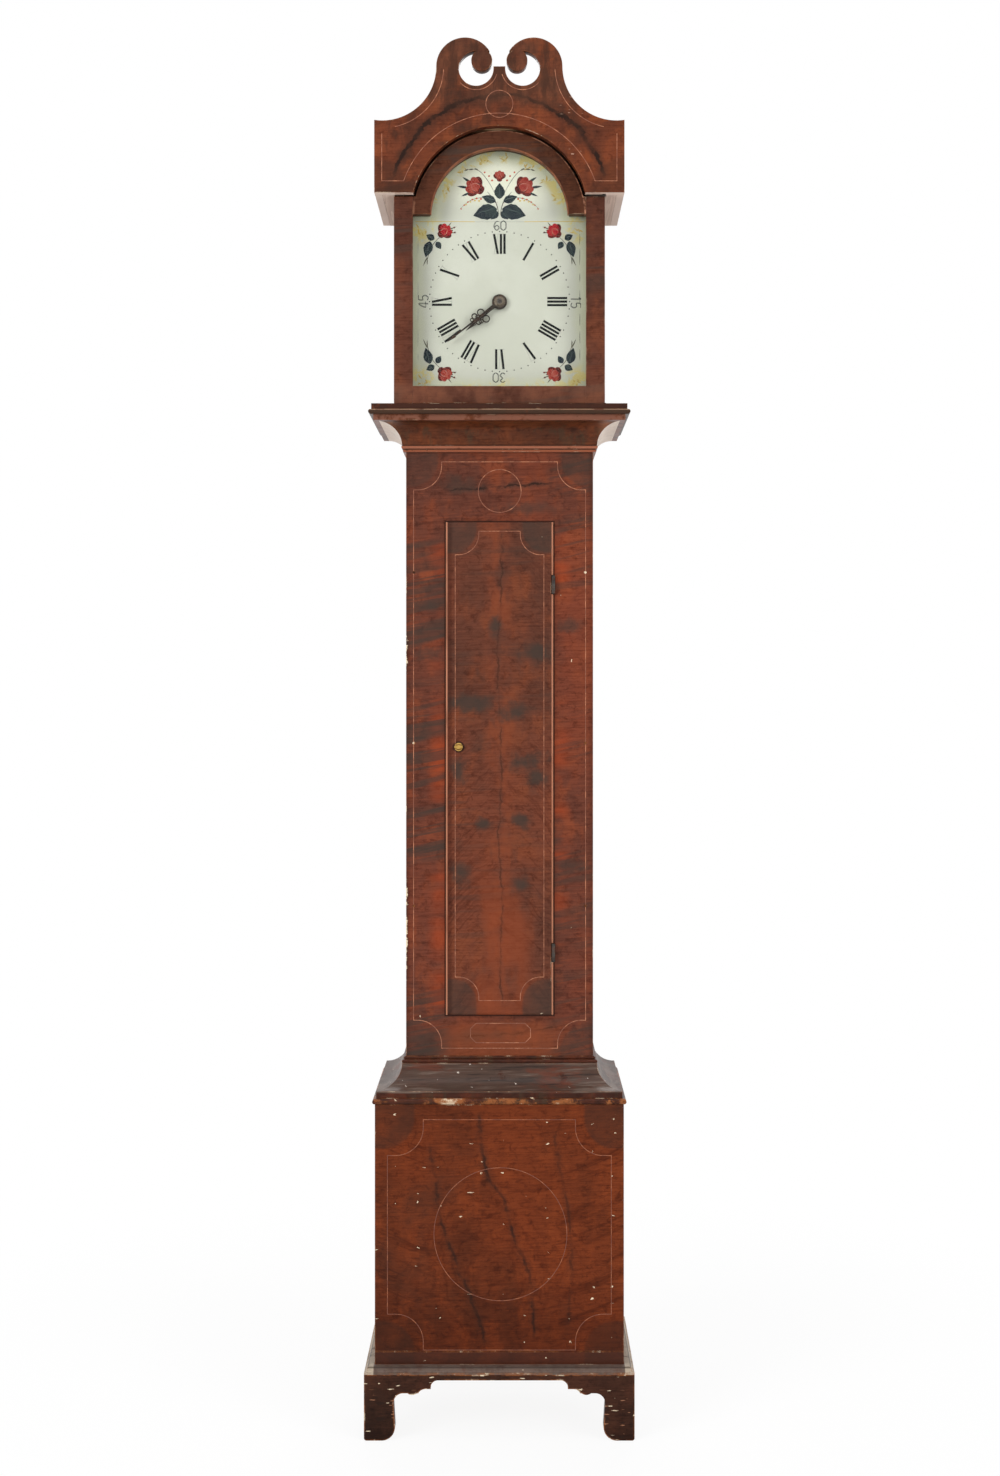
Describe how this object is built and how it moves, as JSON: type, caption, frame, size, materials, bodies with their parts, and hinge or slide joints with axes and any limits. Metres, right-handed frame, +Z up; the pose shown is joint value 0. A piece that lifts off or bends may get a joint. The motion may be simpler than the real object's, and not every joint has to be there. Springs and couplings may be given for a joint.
{
  "type": "tall case clock",
  "caption": "Tall case clock with a swan-neck hood, arched painted dial, long trunk door and a weight-driven wooden movement with pendulum.",
  "frame": {"origin": "on the floor, in the middle of the clock's footprint", "axes": "+X to the viewer's right, -Y to the front, +Z up"},
  "size_m": [0.428, 0.258, 2.2245],
  "materials": {
    "painted_case": "old red-brown grain-painted pine, satin, worn and chipped at the edges",
    "painted_door": "grain-painted pine with smoky darker patches and a fine gold line",
    "painted_hood": "grain-painted pine, smoky dark bands and fine gold lines",
    "moulding_paint": "dark red-brown paint, darkest in the coves, worn to orange on the noses",
    "dark_paint": "near-black brown paint with many small chips to bare wood",
    "raw_pine": "unpainted aged pine",
    "oak": "quarter-sawn oak movement plates, waxed",
    "cherry": "cherry wheels and leaves, waxed",
    "iron": "dark wrought iron",
    "hand_iron": "blackened cut iron hands",
    "weight_iron": "dull tinned iron can",
    "brass": "old brass, softly polished",
    "bell_metal": "cast bell metal",
    "glass": "old clear window glass",
    "dial_paint": "painted dial board, off-white with a faded yellow-green border",
    "cord": "twisted linen cord"
  },
  "bodies": {
    "case": {"base_front_panel": "painted_case", "base_bottom_rail": "painted_case", "base_sides": "painted_case", "waist_stiles": "painted_case", "waist_rails": "painted_case", "waist_sides": "painted_case", "foot_apron_front": "dark_paint", "foot_brackets": "dark_paint", "plinth_moulding": "dark_paint", "base_cap_moulding": "moulding_paint", "waist_cap_moulding": "moulding_paint", "glue_blocks": "raw_pine", "base_floor": "raw_pine", "backboard": "raw_pine", "waist_packing": "raw_pine", "seat_board": "raw_pine", "trunk_hinge_frame_leaves": "iron", "dial": "dial_paint", "movement_front_plate": "oak", "movement_back_plate": "oak", "movement_pillars": "oak", "pendulum_cock": "oak", "bell": "bell_metal", "bell_stand": "iron", "time_cord": "cord", "strike_cord": "cord"},
    "trunk_door": {"trunk_door": "painted_door", "trunk_hinge_door_leaves": "iron"},
    "trunk_latch": {"trunk_latch": "brass"},
    "hood": {"hood_sides": "painted_case", "hood_mask": "dark_paint", "scroll_board": "painted_hood", "hood_fascias": "painted_hood", "hood_soffits": "raw_pine", "hood_roof": "raw_pine", "hood_pivot_plates": "iron"},
    "hood_door": {"hood_door_stiles": "painted_hood", "hood_door_bottom_rail": "painted_hood", "hood_door_arch_rail": "painted_hood", "hood_door_glass": "glass", "hood_door_straps": "iron"},
    "minute": {"centre_arbor": "cherry", "minute_hand": "hand_iron"},
    "hour": {"hour_wheel": "cherry", "hour_hand": "hand_iron"},
    "minute_wheel": {"minute_wheel": "cherry"},
    "great_wheel": {"great_wheel": "cherry"},
    "third_wheel": {"third_wheel": "cherry"},
    "escape_wheel": {"escape_wheel": "brass"},
    "pendulum": {"verge": "iron", "pendulum_rod": "iron", "pendulum_bob": "brass"},
    "time_drum": {"time_drum": "cherry"},
    "time_weight": {"time_weight": "weight_iron"},
    "strike_drum": {"strike_drum": "cherry"},
    "strike_weight": {"strike_weight": "weight_iron"},
    "strike_great_wheel": {"strike_great_wheel": "cherry"},
    "pin_wheel": {"pin_wheel": "cherry"},
    "fly": {"fly": "cherry"},
    "hammer": {"hammer": "iron"}
  },
  "joints": [
    {"name": "trunk_door_swing", "type": "hinge", "parent": "case", "child": "trunk_door", "pos_m": [0.087, -0.071, 1.06], "axis": [0, 0, 1], "range_deg": [0, 110]},
    {"name": "latch_turn", "type": "hinge", "parent": "trunk_door", "child": "trunk_latch", "pos_m": [-0.066, -0.066, 1.095], "axis": [0, 1, 0], "range_deg": [0, 90]},
    {"name": "hood_slide", "type": "slide", "parent": "case", "child": "hood", "axis": [0, -1, 0], "range_m": [0, 0.25]},
    {"name": "hood_door_swing", "type": "hinge", "parent": "hood", "child": "hood_door", "pos_m": [0.167, -0.1015, 1.81], "axis": [0, 0, 1], "range_deg": [0, 110]},
    {"name": "minute_turn", "type": "hinge", "parent": "case", "child": "minute", "pos_m": [0, 0, 1.812], "axis": [0, 1, 0], "continuous": true},
    {"name": "hour_turn", "type": "hinge", "parent": "case", "child": "hour", "pos_m": [0, 0, 1.812], "axis": [0, 1, 0], "continuous": true},
    {"name": "minute_wheel_turn", "type": "hinge", "parent": "case", "child": "minute_wheel", "pos_m": [-0.03, 0, 1.812], "axis": [0, 1, 0], "continuous": true},
    {"name": "great_wheel_turn", "type": "hinge", "parent": "case", "child": "great_wheel", "pos_m": [-0.05005, 0, 1.77748], "axis": [0, 1, 0], "continuous": true},
    {"name": "third_wheel_turn", "type": "hinge", "parent": "case", "child": "third_wheel", "pos_m": [-0.02592, 0, 1.85192], "axis": [0, 1, 0], "continuous": true},
    {"name": "escape_wheel_turn", "type": "hinge", "parent": "case", "child": "escape_wheel", "pos_m": [0, 0, 1.87943], "axis": [0, 1, 0], "continuous": true},
    {"name": "pendulum_swing", "type": "hinge", "parent": "case", "child": "pendulum", "pos_m": [0, 0, 1.91761], "axis": [0, 1, 0], "range_deg": [-2.5, 2.5]},
    {"name": "time_weight_climb", "type": "slide", "parent": "case", "child": "time_weight", "axis": [0, 0, 1], "range_m": [0, 1.07], "deforming": ["time_cord"]},
    {"name": "time_drum_turn", "type": "hinge", "parent": "case", "child": "time_drum", "pos_m": [-0.05005, 0, 1.77748], "axis": [0, 1, 0], "continuous": true},
    {"name": "strike_weight_climb", "type": "slide", "parent": "case", "child": "strike_weight", "axis": [0, 0, 1], "range_m": [0, 1.07], "deforming": ["strike_cord"]},
    {"name": "strike_drum_turn", "type": "hinge", "parent": "case", "child": "strike_drum", "pos_m": [0.05005, 0, 1.77748], "axis": [0, 1, 0], "continuous": true},
    {"name": "strike_wheel_turn", "type": "hinge", "parent": "case", "child": "strike_great_wheel", "pos_m": [0.05005, 0, 1.77748], "axis": [0, 1, 0], "continuous": true},
    {"name": "pin_wheel_turn", "type": "hinge", "parent": "case", "child": "pin_wheel", "pos_m": [0.05798, 0, 1.83772], "axis": [0, 1, 0], "continuous": true},
    {"name": "fly_turn", "type": "hinge", "parent": "case", "child": "fly", "pos_m": [0.0401, 0, 1.86868], "axis": [0, 1, 0], "continuous": true},
    {"name": "hammer_lift", "type": "hinge", "parent": "case", "child": "hammer", "pos_m": [0.062, 0, 1.88], "axis": [0, 1, 0], "range_deg": [0, 15]}
  ],
  "couplings": [
    {"joint": "hour_turn", "follows": "minute_turn", "ratio": 0.083333},
    {"joint": "minute_wheel_turn", "follows": "minute_turn", "ratio": -0.33333},
    {"joint": "great_wheel_turn", "follows": "minute_turn", "ratio": -0.14286},
    {"joint": "third_wheel_turn", "follows": "minute_turn", "ratio": -7.5},
    {"joint": "escape_wheel_turn", "follows": "minute_turn", "ratio": 60},
    {"joint": "time_drum_turn", "follows": "time_weight_climb", "rad_per_m": 26.455},
    {"joint": "strike_drum_turn", "follows": "strike_weight_climb", "rad_per_m": -26.455},
    {"joint": "pin_wheel_turn", "follows": "strike_wheel_turn", "ratio": -6},
    {"joint": "fly_turn", "follows": "strike_wheel_turn", "ratio": 41.143}
  ]
}
